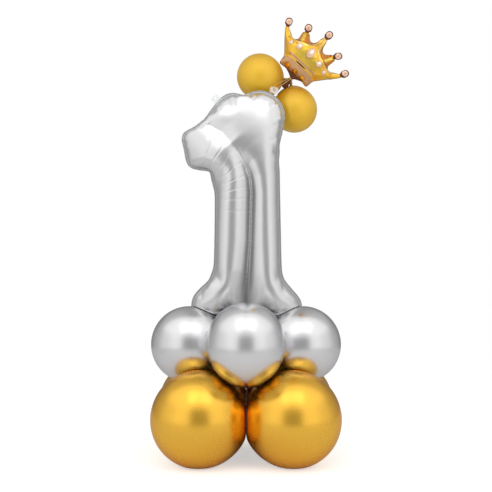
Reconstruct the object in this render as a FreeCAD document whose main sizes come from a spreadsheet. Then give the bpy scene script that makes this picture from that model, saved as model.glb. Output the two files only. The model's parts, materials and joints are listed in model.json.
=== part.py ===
"""Number-one balloon column.

A foil figure 1 stands in the hollow of an upper nest of four silver latex balloons, and that nest
sits on a lower one of four gold balloons. A foil crown and two small latex balloons hang together
on a ribbon that runs through the tab at the number's upper right. Every balloon is a closed skin
full of air. +Z is up and the front faces -Y. The origin is on the floor, under the middle of the
whole object's outline. Sizes are in millimetres, angles in degrees.
"""

import FreeCAD, Part
import math
import os

import Sketcher
from FreeCAD import Placement, Rotation, Vector

# Driving dimensions: alias -> (value, what it is).
SIZES = {
    "skin": (0.6, "thickness of every balloon skin, foil or latex"),
    "gap": (0.6, "clearance between two balloons that press together"),
    "column_x": (-17.0, "x of the column's axis"),
    "gold_radius": (152.0, "12-inch balloon of the lower nest"),
    "gold_spread": (146.0, "distance of its centre from the column's two middle planes"),
    "gold_height": (146.0, "height of its centre above the floor"),
    "gold_shoulder": (27.0, "radius where it runs into its neck"),
    "gold_neck": (5.5, "radius of its neck"),
    "silver_radius": (124.0, "10-inch balloon of the upper nest"),
    "silver_spread": (186.0, "distance of the left and right balloons' centres from the axis"),
    "silver_out": (4.0, "how much further out the front and back balloons sit"),
    "silver_height": (364.0, "height of the left and right balloons' centres"),
    "silver_step": (10.0, "how much higher the front and back balloons sit"),
    "silver_drop": (64.0, "how far its neck falls towards the axis"),
    "silver_shoulder": (42.0, "radius where it runs into its neck"),
    "silver_neck": (5.0, "radius of its neck"),
    "small_radius": (76.5, "small balloon beside the crown"),
    "small_shoulder": (5.0, "radius where it runs into its neck"),
    "small_neck": (3.5, "radius of its neck"),
    "tab_width": (28.0, "width of a hanging tab"),
    "tab_half": (0.3, "half the thickness of a hanging tab"),
    "tab_hole": (3.0, "radius of the hole in a hanging tab"),
    "tail_ply": (1.2, "thickness of each film where the tail gathers it"),
    "valve_half": (0.4, "half the thickness of a flat one-way valve"),
    "cord": (1.2, "radius of the ribbon where it is drawn into a cord"),
}

KNOT_FROM_AXIS = 23.0  # from the column's axis to a knot of either nest
TIE_FROM_AXIS = 29.0  # from the column's axis to the tie round a neck
TIE_CLEARANCE = 0.1  # between a tie and the neck inside it


def size(name):
    """Value of a driving dimension."""
    return SIZES[name][0]


def on_column(x, y, z):
    """Point given from the column's axis on the floor."""
    return Vector(size("column_x") + x, y, z)


def unit(vector):
    """The vector at length 1."""
    return Vector(vector).normalize()


def make_sheet(doc):
    """Spreadsheet with one row per driving dimension: its name, value and meaning."""
    sheet = doc.addObject("Spreadsheet::Sheet", "sizes")
    for row, (alias, (value, meaning)) in enumerate(SIZES.items(), start=1):
        sheet.set(f"A{row}", alias)
        sheet.set(f"B{row}", str(value))
        sheet.set(f"C{row}", meaning)
        sheet.setAlias(f"B{row}", alias)
    doc.recompute()


def plane_sketch(body, name, role, offset=0.0):
    """Empty sketch on one of the body's origin planes, or parallel to it at an offset."""
    sketch = body.newObject("Sketcher::SketchObject", name)
    plane = next(f for f in body.Origin.OriginFeatures if f.Role == role)
    sketch.AttachmentSupport = [(plane, "")]
    sketch.MapMode = "FlatFace"
    sketch.AttachmentOffset = Placement(Vector(0, 0, offset), Rotation())
    return sketch


def bind(sketch, name, constraint, formula):
    """Adds a dimension to a sketch and binds it to a formula of the spreadsheet."""
    index = sketch.addConstraint(constraint)
    sketch.renameConstraint(index, name)
    sketch.setExpression(f"Constraints.{name}", formula)


def fuse(doc, name, parts):
    """One solid of several."""
    joined = doc.addObject("Part::MultiFuse", name)
    joined.Shapes = parts
    return joined


def cut(doc, name, base, tool):
    """One solid less another."""
    rest = doc.addObject("Part::Cut", name)
    rest.Base = base
    rest.Tool = tool
    return rest


# ---------------------------------------------------------------- latex balloons

LIP_FLARE = 1.2  # how far the rolled lip stands out of the neck
LIP_LENGTH = 2.0
LIP_GAP = 2.6  # from the knot's end to the lip


def latex_profile(body, name, kind, knot_at, knot, inset):
    """Half outline of a latex balloon: round crown, shoulder, neck, knot and rolled lip.

    The ball's centre is the sketch's origin and its neck points along -X. An inset outline is that
    of the air inside, which ends at the knot.
    """
    skin = size("skin") if inset else 0.0
    less, more = (" - sizes.skin", " + sizes.skin") if inset else ("", "")
    ball = size(f"{kind}_radius") - skin
    shoulder = size(f"{kind}_shoulder") + skin
    neck = size(f"{kind}_neck") - skin
    bend = Vector(-math.sqrt((ball + shoulder) ** 2 - (neck + shoulder) ** 2), neck + shoulder, 0)
    meet = math.atan2(bend.y, bend.x)
    knot_start = -knot_at + knot
    sketch = plane_sketch(body, name, "XZ_Plane")
    up = Vector(0, 0, 1)
    sketch.addGeometry(Part.ArcOfCircle(Part.Circle(Vector(), up, ball), 0, meet))
    round_shoulder = Part.Circle(bend, up, shoulder)
    sketch.addGeometry(Part.ArcOfCircle(round_shoulder, 1.5 * math.pi, meet + math.pi))
    sketch.addGeometry(Part.LineSegment(Vector(bend.x, neck, 0), Vector(knot_start, neck, 0)))
    sketch.addConstraint(Sketcher.Constraint("Coincident", 0, 3, -1, 1))
    sketch.addConstraint(Sketcher.Constraint("PointOnObject", 0, 1, -1))
    sketch.addConstraint(Sketcher.Constraint("Tangent", 0, 2, 1, 2))
    sketch.addConstraint(Sketcher.Constraint("Tangent", 1, 1, 2, 1))
    sketch.addConstraint(Sketcher.Constraint("Horizontal", 2))
    bind(sketch, "ball", Sketcher.Constraint("Radius", 0, ball), f"sizes.{kind}_radius{less}")
    round_it = Sketcher.Constraint("Radius", 1, shoulder)
    bind(sketch, "shoulder", round_it, f"sizes.{kind}_shoulder{more}")
    from_axis = Sketcher.Constraint("DistanceY", -1, 1, 2, 1, neck)
    bind(sketch, "neck", from_axis, f"sizes.{kind}_neck{less}")
    corners = [Vector(knot_start, neck, 0)]
    if not inset:
        bulge = Part.Circle(Vector(-knot_at, neck, 0), up, knot)
        sketch.addGeometry(Part.ArcOfCircle(bulge, 0, math.pi))
        lip_start = -knot_at - knot - LIP_GAP
        corners = [
            Vector(-knot_at - knot, neck, 0),
            Vector(lip_start, neck + LIP_FLARE, 0),
            Vector(lip_start - LIP_LENGTH, neck + LIP_FLARE, 0),
        ]
    corners += [Vector(corners[-1].x, 0, 0), Vector(ball, 0, 0)]
    for start, end in zip(corners, corners[1:]):
        sketch.addGeometry(Part.LineSegment(start, end))
    return sketch


def pressed_flat(body, name, direction, distance):
    """Cuts the balloon off flat, square to a direction and at a distance from its centre."""
    side = 2 * size("gold_radius")
    box = body.newObject("PartDesign::SubtractiveBox", name)
    box.Length = box.Width = box.Height = side
    turn = Rotation(Vector(0, 0, 1), direction)
    corner = turn.multVec(Vector(-side / 2, -side / 2, 0))
    box.Placement = Placement(corner + direction * distance, turn)


def latex_forms(doc, name, kind, knot_at, knot, flats=()):
    """The outside and the air of one kind of latex balloon, to be cut from each other."""
    forms = []
    for part, inset in (("outside", False), ("air", True)):
        body = doc.addObject("PartDesign::Body", f"{name}_{part}")
        profile = latex_profile(body, f"{name}_{part}_profile", kind, knot_at, knot, inset)
        turned = body.newObject("PartDesign::Revolution", f"{name}_{part}_turned")
        turned.Profile = profile
        turned.ReferenceAxis = (profile, ["H_Axis"])
        turned.Angle = 360
        doc.recompute()
        skin = size("skin") if inset else 0.0
        for index, (direction, distance) in enumerate(flats):
            pressed_flat(body, f"{name}_{part}_flat_{index}", direction, distance - skin)
        forms.append(body)
    return forms


def latex_balloon(doc, label, forms, placement):
    """One balloon's skin: the outside less the air, put in its place."""
    skin = cut(doc, label, *forms)
    skin.Placement = placement
    return skin


def contact(out, height):
    """Distances from a lower and an upper balloon's centre to the flat where they press.

    out and height are those of the upper balloon's centre, from the column's axis and the floor.
    """
    spread = size("gold_spread")
    rise = height - size("gold_height")
    apart = Vector(out - spread, spread, rise).Length
    gold, silver = size("gold_radius"), size("silver_radius")
    from_gold = (apart**2 + gold**2 - silver**2) / (2 * apart)
    return from_gold - size("gap") / 2, apart - from_gold - size("gap") / 2


def silver_places():
    """Each upper pair's distance from the axis and height: the sides, then front and back."""
    out, height = size("silver_spread"), size("silver_height")
    return {
        "sides": (out, height),
        "front_back": (out + size("silver_out"), height + size("silver_step")),
    }


def gold_nest(doc):
    """Lower nest: four balloons in a square, pressed together and flattened by the floor."""
    spread = size("gold_spread")
    reach = spread * math.sqrt(2)
    eighth = Rotation(Vector(0, 0, 1), -45)
    sides, front_back = silver_places().values()
    pairs = {
        (sides, front_back): {"back_right": 45, "front_left": 225},
        (front_back, sides): {"back_left": 135, "front_right": 315},
    }
    for index, (above, corners) in enumerate(pairs.items()):
        flats = [(Vector(0, 0, -1), size("gold_height"))]
        for beside, (out, height) in zip((Vector(0, -1, 0), Vector(-1, 0, 0)), above):
            flats.append((eighth.multVec(beside), spread - size("gap") / 2))
            outwards = Vector(1, 1, 0) + beside
            level = beside * spread + outwards * (out - spread)
            towards = eighth.multVec(level + Vector(0, 0, height - size("gold_height")))
            flats.append((unit(towards), contact(out, height)[0]))
        forms = latex_forms(doc, f"gold_{index}", "gold", reach - KNOT_FROM_AXIS, 4.2, flats)
        for corner, yaw in corners.items():
            turn = Rotation(Vector(0, 0, 1), yaw)
            centre = on_column(0, 0, size("gold_height")) + turn.multVec(Vector(reach, 0, 0))
            latex_balloon(doc, f"gold_balloon_{corner}", forms, Placement(centre, turn))


def silver_lean(out):
    """Rotation that slopes an upper balloon's neck down to the axis from a distance out."""
    fall = math.degrees(math.atan2(size("silver_drop"), out))
    return Rotation(Vector(0, 1, 0), -fall)


def silver_nest(doc):
    """Upper nest: four balloons in the hollows of the lower one, their necks sloping inwards."""
    spread = size("gold_spread")
    yaws = {"sides": {"right": 0, "left": 180}, "front_back": {"back": 90, "front": 270}}
    for pair, (out, height) in silver_places().items():
        lean = silver_lean(out)
        flats = []
        for y in (-spread, spread):
            below = Vector(spread - out, y, size("gold_height") - height)
            flats.append((lean.inverted().multVec(unit(below)), contact(out, height)[1]))
        knot_at = math.hypot(out, size("silver_drop")) - KNOT_FROM_AXIS
        forms = latex_forms(doc, f"silver_{pair}", "silver", knot_at, 4.0, flats)
        for side, yaw in yaws[pair].items():
            turn = Rotation(Vector(0, 0, 1), yaw)
            centre = on_column(0, 0, height) + turn.multVec(Vector(out, 0, 0))
            latex_balloon(doc, f"silver_balloon_{side}", forms, Placement(centre, turn * lean))


# ---------------------------------------------------------------- flat pieces and foil films


def slab(doc, name, corners, ply, placement=Placement(), hole=None):
    """Flat piece in the plane y = 0 with a rounded outline.

    Each corner is (x, z, radius of its rounding). ply names the driving dimension that is half its
    thickness. hole is (x, z) of a round hole.
    """
    body = doc.addObject("PartDesign::Body", name)
    sketch = plane_sketch(body, f"{name}_outline", "XZ_Plane")
    points = [Vector(x, z, 0) for x, z, _ in corners]
    runs = []
    for index, (_, _, radius) in enumerate(corners):
        here = points[index]
        back = unit(points[index - 1] - here)
        ahead = unit(points[(index + 1) % len(points)] - here)
        half_turn = (math.pi - back.getAngle(ahead)) / 2
        tangent = radius * math.tan(half_turn)
        start, end = here + back * tangent, here + ahead * tangent
        runs.append((start, end))
        if radius > 0:
            middle = here + unit(back + ahead) * (radius / math.cos(half_turn) - radius)
            sketch.addGeometry(Part.Arc(start, middle, end))
    for (_, start), (end, _) in zip(runs, runs[1:] + runs[:1]):
        sketch.addGeometry(Part.LineSegment(start, end))
    if hole:
        rim = Part.Circle(Vector(*hole, 0), Vector(0, 0, 1), size("tab_hole"))
        index = sketch.addGeometry(rim)
        radius_of = Sketcher.Constraint("Radius", index, size("tab_hole"))
        bind(sketch, "hole", radius_of, "sizes.tab_hole")
    pad = body.newObject("PartDesign::Pad", f"{name}_pad")
    pad.Profile = sketch
    pad.Midplane = True
    pad.setExpression("Length", f"2 * sizes.{ply}")
    body.Placement = placement
    return body


def lobe(doc, name, stations, inset, placement=Placement()):
    """Pillow of inflated film: a loft through ellipses set square to the local Z axis.

    Each station is (z, centre x, half width, half depth). An inset lobe is the air inside.
    """
    skin = size("skin") if inset else 0.0
    body = doc.addObject("PartDesign::Body", name)
    sections = []
    for index, (z, centre, width, depth) in enumerate(stations):
        end = (index == 0) - (index == len(stations) - 1)
        sketch = plane_sketch(body, f"{name}_{index}", "XY_Plane", z + end * skin)
        ellipse = Part.Ellipse(Vector(centre, 0, 0), width - skin, depth - skin)
        sketch.addGeometry(ellipse)
        sections.append(sketch)
    doc.recompute()
    loft = body.newObject("PartDesign::AdditiveLoft", f"{name}_loft")
    loft.Profile = sections[0]
    loft.Sections = sections[1:]
    body.Placement = placement
    return body


def films(doc, name, outer, inner, margins, valve, placement):
    """Front and back film of a foil balloon, welded along the plane y = 0."""
    lobes = fuse(doc, f"{name}_lobes", outer)
    filled = fuse(doc, f"{name}_filled", [lobes, *margins])
    hollow = cut(doc, f"{name}_hollow", filled, fuse(doc, f"{name}_air", inner))
    skin = cut(doc, f"{name}_skin", hollow, valve)
    span = 2000.0
    for side, front in (("front", -span), ("back", 0.0)):
        half = doc.addObject("Part::Box", f"{name}_{side}_half")
        half.Length = half.Width = half.Height = span
        half.Placement.Base = Vector(-span / 2, front, -span / 4)
        film = doc.addObject("Part::Common", f"{name}_{side}_film")
        film.Base = skin
        film.Tool = half
        film.Placement = placement


def tail(top, waist, end, waist_z, end_z, x=0.0, top_z=0.0):
    """Corners of a filling tail that narrows to a gathered waist and flares at its end."""
    return [
        (x - top, top_z, 0),
        (x + top, top_z, 0),
        (x + waist, waist_z, 6),
        (x + end, end_z, 1),
        (x - end, end_z, 1),
        (x - waist, waist_z, 6),
    ]


STEM_MIDDLE = 820.0  # height of the middle of the figure's inflated part
STEM_HALF = 362.0  # half its height
STEM_CENTRE = 14.0  # x of the stem
FOOT_HEIGHT = 500.0  # height where the stem is widest over the foot
FOOT_REACH = 60.0  # how quickly it narrows above that
FOOT_HALF = 178.0  # half the length of the foot
# The flag runs down to the left from this point, turned by this angle about Y.
FLAG_START = Vector(20, 0, 1090)
FLAG_TURN = -116.0
FLAG_LENGTH = 252.0


def stem_stations(count=18):
    """Sections up the figure's stem, which widens to its foot: (z, centre x, half width, depth)."""
    stations = []
    for index in range(count):
        along = -math.cos(math.pi * (index + 0.45) / (count - 0.1))
        z = STEM_MIDDLE + STEM_HALF * along
        end = math.sqrt(1 - abs(along) ** 12)
        foot = math.exp(-(((z - FOOT_HEIGHT) / FOOT_REACH) ** 2))
        width = (99 + 52 * foot) * end
        stations.append((z, STEM_CENTRE - 8 * foot, width, (95 - 14 * foot) * end**1.3))
    return stations


def foot_stations(count=14):
    """Sections along the figure's foot, whose lower edge sags in the middle."""
    stations = []
    for index in range(count):
        along = -math.cos(math.pi * (index + 0.5) / count)
        off = abs(along)
        low = 454 + 42 * off**1.5
        high = 536 + 92 * (1 - off) ** 1.1
        half = (high - low) / 2 * (1 - off**6) ** 0.6
        stations.append((FOOT_HALF * along, -(low + high) / 2, half, 0.9 * half))
    return stations


def flag_stations(count=10):
    """Sections along the figure's flag, from inside the stem to its blunt end."""
    stations = []
    for index in range(count):
        along = math.sin(math.pi / 2 * (0.02 + 0.83 * index / (count - 1)))
        end = math.sqrt(1 - along**8)
        reach = FLAG_LENGTH * along
        width = (48 + 42 * math.exp(-(((reach - 55) / 90) ** 2))) * end
        stations.append((reach, 8 - 0.1 * reach, width, 0.84 * width * end**0.6))
    return stations


# Outer edge of its welded margin: (x, z, rounding).
NUMBER_EDGE = [
    (123, 1194, 70),
    (-48, 1194, 110),
    (-213, 1018, 24),
    (-192, 938, 26),
    (-131, 930, 30),
    (-94, 858, 45),
    (-94, 606, 90),
    (-186, 538, 14),
    (-174, 491, 12),
    (0, 440, 300),
    (176, 492, 12),
    (186, 518, 12),
    (122, 586, 70),
]
NUMBER_WAIST = 408.0  # height of the tail's waist, where the ribbon holds it
TAB_REACH = 34.0  # from a tab's hidden root to its hole
TAB_END = 9.0  # from the hole to the tab's free end
LEFT_HOLE = Vector(-100, 0, 1168)
LEFT_TAB_TURN = -46.8
RIGHT_HOLE = Vector(92, 0, 1196)
RIGHT_TAB_TURN = 12.0


def number(doc):
    """The figure 1: two films, a one-way valve in the tail and a clear hanging tab on each side."""
    place = Placement(on_column(0, 0, 0), Rotation())
    lean = Placement(FLAG_START, Rotation(Vector(0, 1, 0), FLAG_TURN))
    lying = Placement(Vector(0, 0, 0), Rotation(Vector(0, 1, 0), 90))
    outer, inner = (
        [
            lobe(doc, f"stem_{n}", stem_stations(), inset),
            lobe(doc, f"foot_{n}", foot_stations(), inset, lying),
            lobe(doc, f"flag_{n}", flag_stations(), inset, lean),
        ]
        for n, inset in (("outside", False), ("air", True))
    )
    edge = slab(doc, "number_margin", NUMBER_EDGE, "skin")
    tail_edge = tail(18, 4, 8, NUMBER_WAIST, NUMBER_WAIST - 13, top_z=456)
    neck = slab(doc, "number_tail", tail_edge, "tail_ply")
    valve_corners = [(-8, 428, 1), (8, 428, 1), (8, 520, 3), (-8, 520, 3)]
    slot = slab(doc, "number_valve_slot", valve_corners, "valve_half")
    valve = slab(doc, "number_valve", valve_corners, "valve_half", place)
    films(doc, "number", outer, inner, [edge, neck], slot, place)
    half = size("tab_width") / 2
    corners = [
        (-half, -TAB_REACH, 0),
        (half, -TAB_REACH, 0),
        (half, TAB_END, 6),
        (-half, TAB_END, 6),
    ]
    tabs = {"left": (LEFT_HOLE, LEFT_TAB_TURN), "right": (RIGHT_HOLE, RIGHT_TAB_TURN)}
    for side, (hole, turn) in tabs.items():
        pose = Placement(hole, Rotation(Vector(0, 1, 0), turn))
        whole = slab(doc, f"tab_{side}", corners, "tab_half", pose, hole=(0, 0))
        tab = cut(doc, f"hanging_tab_{side}", whole, edge)
        tab.Placement = place


# The crown in its own plane, from the middle of its band's lower edge.
CROWN_BASE = [
    (4, 0, 46, 7),
    (12, 0, 55, 18),
    (26, 0, 58, 25),
    (52, 0, 74, 30),
    (80, 0, 94, 27),
    (100, 0, 64, 17),
    (112, 0, 34, 7),
]
CROWN_EDGE = [
    (-64, -5, 4),
    (64, -5, 4),
    (63, 28, 30),
    (112, 88, 8),
    (76, 97, 10),
    (22, 127, 14),
    (-22, 127, 14),
    (-76, 97, 10),
    (-112, 88, 8),
    (-63, 28, 30),
]
# Each point of the crown: x and z of its root, then of the ball at its tip.
CROWN_POINTS = [
    (-72, 56, -123, 114),
    (-38, 72, -65, 149),
    (0, 80, 0, 172),
    (38, 72, 65, 149),
    (72, 56, 123, 114),
]
# Sections up a point: (share of its length, half width, half depth).
POINT_SECTIONS = [(0, 33, 22), (0.3, 22, 16), (0.6, 10, 9), (0.85, 5, 5), (1, 4.5, 4.5)]
POINT_BALL = 11.0  # radius of the ball
POINT_MARGIN = 4.0  # welded margin round a point
CROWN_AT = Vector(157, 64, 1260)
CROWN_LEAN = 43.0
CROWN_TAIL_X = 6.4
CROWN_WAIST = -17.0


def crown_point(doc, name, point, inset):
    """One point of the crown with the ball on its tip."""
    root, tip = Vector(point[0], 0, point[1]), Vector(point[2], 0, point[3])
    length = (tip - root).Length
    stations = [(length * share, 0, width, depth) for share, width, depth in POINT_SECTIONS]
    place = Placement(root, Rotation(Vector(0, 0, 1), tip - root))
    spike = lobe(doc, f"{name}_spike", stations, inset, place)
    ball = doc.addObject("Part::Sphere", f"{name}_ball")
    ball.Radius = POINT_BALL - (size("skin") if inset else 0.0)
    ball.Placement.Base = tip
    return [spike, ball]


def crown_point_margin(doc, name, point):
    """Flat margin round one point and its ball."""
    root, tip = Vector(point[0], 0, point[1]), Vector(point[2], 0, point[3])
    side = unit(tip - root).cross(Vector(0, 1, 0))
    rims = [
        [root + (tip - root) * share + side * sign * (width + POINT_MARGIN)
         for share, width, _ in POINT_SECTIONS]
        for sign in (1, -1)
    ]
    outline = rims[0] + rims[1][::-1]
    strip = slab(doc, f"{name}_strip", [(end.x, end.z, 0) for end in outline], "skin")
    disc = doc.addObject("Part::Cylinder", f"{name}_disc")
    disc.Radius = POINT_BALL + POINT_MARGIN
    disc.setExpression("Height", "2 * sizes.skin")
    disc.Placement = Placement(tip + Vector(0, size("skin"), 0), Rotation(Vector(1, 0, 0), 90))
    return [strip, disc]


def crown_place():
    """Where the crown leans, over the two small balloons."""
    at = on_column(0, 0, 0) + CROWN_AT
    return Placement(at, Rotation(Vector(0, 1, 0), CROWN_LEAN))


def crown(doc):
    """Five-pointed crown: two films and a one-way valve in the tail under its band."""
    parts = []
    for n, inset in (("outside", False), ("air", True)):
        lobes = [lobe(doc, f"crown_base_{n}", CROWN_BASE, inset)]
        for index, point in enumerate(CROWN_POINTS):
            lobes += crown_point(doc, f"crown_point_{index}_{n}", point, inset)
        parts.append(lobes)
    margins = [slab(doc, "crown_margin", CROWN_EDGE, "skin")]
    for index, point in enumerate(CROWN_POINTS):
        margins += crown_point_margin(doc, f"crown_point_{index}_margin", point)
    tail_edge = tail(10, 3, 5, CROWN_WAIST, CROWN_WAIST - 7, x=CROWN_TAIL_X, top_z=6)
    margins.append(slab(doc, "crown_tail", tail_edge, "tail_ply"))
    middle = CROWN_TAIL_X
    corners = [(middle - 5, -7, 1), (middle + 5, -7, 1), (middle + 5, 42, 2), (middle - 5, 42, 2)]
    slot = slab(doc, "crown_valve_slot", corners, "valve_half")
    slab(doc, "crown_valve", corners, "valve_half", crown_place())
    films(doc, "crown", *parts, margins, slot, crown_place())


# ---------------------------------------------------------------- ribbons and ties

TOPPER_TIE = Vector(149, 82, 1242)  # where the small balloons' necks meet
TOPPER_BALLOONS = {"upper": Vector(46, 75, 1253), "lower": Vector(163, 92, 1144)}
SMALL_KNOT_AT = 89.0
SMALL_TIE_AT = 83.4


def topper_balloons(doc):
    """The two small latex balloons, their necks pointing at the place where they are tied."""
    forms = latex_forms(doc, "small", "small", SMALL_KNOT_AT, 2.8)
    for side, centre in TOPPER_BALLOONS.items():
        turn = Rotation(Vector(-1, 0, 0), TOPPER_TIE - centre)
        placement = Placement(on_column(0, 0, 0) + centre, turn)
        latex_balloon(doc, f"topper_balloon_{side}", forms, placement)


def collar(doc, name, centre, axis, bore):
    """Turn of ribbon round a neck of the given radius."""
    ring = doc.addObject("Part::Torus", name)
    ring.Radius1 = bore + TIE_CLEARANCE + size("cord")
    ring.setExpression("Radius2", "sizes.cord")
    ring.Placement = Placement(centre, Rotation(Vector(0, 0, 1), axis))
    return ring


def cord(doc, name, points):
    """Cord along a route of straight runs, every bend a tangent arc as wide as its runs allow."""
    edges = []
    last = points[0]
    for before, here, after in zip(points, points[1:], points[2:]):
        back, ahead = before - here, after - here
        tangent = 0.45 * min(back.Length, ahead.Length)
        half_turn = (math.pi - back.getAngle(ahead)) / 2
        radius = tangent / math.tan(half_turn)
        print(f"{name}: bend radius {radius:.1f}")
        back, ahead = unit(back), unit(ahead)
        middle = here + unit(back + ahead) * (radius / math.cos(half_turn) - radius)
        edges.append(Part.makeLine(last, here + back * tangent))
        last = here + ahead * tangent
        edges.append(Part.Arc(here + back * tangent, middle, last).toShape())
    edges.append(Part.makeLine(last, points[-1]))
    route = doc.addObject("Part::Feature", f"{name}_route")
    route.Shape = Part.Wire(edges)
    section = doc.addObject("Part::Circle", f"{name}_section")
    section.setExpression("Radius", "sizes.cord")
    section.Placement = Placement(points[0], Rotation(Vector(0, 0, 1), points[1] - points[0]))
    sweep = doc.addObject("Part::Sweep", f"{name}_cord")
    sweep.Sections = [section]
    sweep.Spine = (route, [f"Edge{n + 1}" for n in range(len(edges))])
    sweep.Solid = True
    sweep.Frenet = True
    doc.recompute()
    bulk = math.pi * size("cord") ** 2 * route.Shape.Length
    print(f"{name}: length {route.Shape.Length:.1f}, volume {sweep.Shape.Volume / bulk:.3f} of tube")
    return sweep


def pair_tie(doc, name, yaw, height, lean, neck, over):
    """Tie of two opposite necks: a turn round each and a crossing over or under their knots."""
    turn = Rotation(Vector(0, 0, 1), yaw)
    rise = 1.0 if over else -1.0
    parts, ends = [], []
    for side, facing in enumerate((Rotation(), Rotation(Vector(0, 0, 1), 180))):
        frame = turn * facing * lean
        middle = on_column(0, 0, height)
        at = middle + frame.multVec(Vector(TIE_FROM_AXIS, 0, 0))
        ring = collar(doc, f"{name}_turn_{side}", at, frame.multVec(Vector(1, 0, 0)), neck)
        parts.append(ring)
        off = neck + TIE_CLEARANCE + size("cord")
        start = middle + frame.multVec(Vector(TIE_FROM_AXIS, 0, rise * (off + 0.4)))
        bend = middle + frame.multVec(Vector(TIE_FROM_AXIS - 2, 0, rise * (off + 7)))
        ends.append([start, bend])
    route = ends[0] + ends[1][::-1]
    parts.append(cord(doc, name, route))
    fuse(doc, name, parts)


def ties(doc):
    """Two ties for each nest, one for each pair of opposite balloons."""
    level = Rotation()
    for name, yaw, over in (("gold_tie_over", 45, True), ("gold_tie_under", 135, False)):
        pair_tie(doc, name, yaw, size("gold_height"), level, size("gold_neck"), over)
    for name, yaw, pair, over in (
        ("silver_tie_over", 90, "front_back", True),
        ("silver_tie_under", 0, "sides", False),
    ):
        out, height = silver_places()[pair]
        meet = height - size("silver_drop")
        pair_tie(doc, name, yaw, meet, silver_lean(out), size("silver_neck"), over)


def centre_ribbon(doc):
    """Ribbon from the lower nest's tie, up between the necks, to a turn round the number's tail."""
    waist = on_column(0, 0, NUMBER_WAIST)
    ring = collar(doc, "centre_ribbon_turn", waist, Vector(0, 0, 1), 5.0)
    off = float(ring.Radius1)
    route = [
        on_column(-3.8, 0, 172),
        on_column(-3.8, 0, 154.5),
        on_column(3.8, 0, 154.5),
        on_column(3.8, 0, 220),
        on_column(2.8, 2.8, 270),
        on_column(2.8, 2.8, 340),
        on_column(0, off, 378),
        on_column(0, off, NUMBER_WAIST),
    ]
    fuse(doc, "centre_ribbon", [ring, cord(doc, "centre_ribbon_main", route)])


def topper_ribbon(doc):
    """Ribbon through the right tab's hole, with a turn round each small neck and the crown's tail."""
    place = crown_place()
    origin = on_column(0, 0, 0)
    waist = place.multVec(Vector(CROWN_TAIL_X, 0, CROWN_WAIST))
    across = place.Rotation.multVec(Vector(1, 0, 0))
    crown_ring = collar(doc, "crown_turn", waist, place.Rotation.multVec(Vector(0, 0, 1)), 3.9)
    off = float(crown_ring.Radius1)
    parts = [crown_ring]
    for side, centre in TOPPER_BALLOONS.items():
        axis = unit(TOPPER_TIE - centre)
        at = origin + centre + axis * SMALL_TIE_AT
        ring = collar(doc, f"{side}_turn", at, axis, size("small_neck"))
        front = unit(axis.cross(Vector(0, -1, 0)).cross(axis)) * (float(ring.Radius1) + 0.4)
        reach = across * (off + 0.4 if side == "lower" else -off - 0.4)
        parts += [ring, cord(doc, f"topper_ribbon_{side}", [waist + reach, at + front])]
    hole = origin + RIGHT_HOLE
    tab_up = Rotation(Vector(0, 1, 0), RIGHT_TAB_TURN).multVec(Vector(0, 0, 1))
    route = [
        waist + Vector(0, -off - 0.4, 0),
        hole + Vector(0, 8, 0),
        hole + Vector(0, -6, 0),
        hole + Vector(0, -6, 0) + tab_up * 15,
        waist - across * 0.8 * off + Vector(0, -0.6 * off, 0),
    ]
    parts.append(cord(doc, "topper_ribbon_loop", route))
    fuse(doc, "topper_ribbon", parts)


# ---------------------------------------------------------------- the whole object

NODES = [
    *(f"gold_balloon_{c}" for c in ("front_left", "front_right", "back_left", "back_right")),
    *(f"silver_balloon_{s}" for s in ("front", "back", "left", "right")),
    "topper_balloon_upper",
    "topper_balloon_lower",
    "number_front_film",
    "number_back_film",
    "number_valve",
    "hanging_tab_left",
    "hanging_tab_right",
    "crown_front_film",
    "crown_back_film",
    "crown_valve",
    "gold_tie_over",
    "gold_tie_under",
    "silver_tie_over",
    "silver_tie_under",
    "centre_ribbon",
    "topper_ribbon",
]


def check(doc):
    """Stops the build if an object failed or a sub-part isn't one good solid."""
    for item in doc.Objects:
        if {"Invalid", "Error"} & set(item.State):
            raise RuntimeError(f"{item.Name}: {item.State}")
    for label in NODES:
        shape = doc.getObjectsByLabel(label)[0].Shape
        if shape.isNull() or not shape.isValid() or len(shape.Solids) != 1:
            raise RuntimeError(f"{label}: {len(shape.Solids)} solids, valid {shape.isValid()}")


def main():
    doc = FreeCAD.newDocument("balloon_column")
    make_sheet(doc)
    gold_nest(doc)
    silver_nest(doc)
    number(doc)
    crown(doc)
    topper_balloons(doc)
    ties(doc)
    centre_ribbon(doc)
    topper_ribbon(doc)
    doc.recompute()
    check(doc)
    os.makedirs("parts", exist_ok=True)
    for label in NODES:
        shape = doc.getObjectsByLabel(label)[0].Shape
        shape.exportStep(f"parts/{label}.step")
        print(f"{label}: {shape.Volume / 1000:.1f} cm3")


main()
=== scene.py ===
import json
import math

import bpy
import numpy as np
from mathutils import Matrix, Vector
from mathutils.geometry import delaunay_2d_cdt


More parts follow.
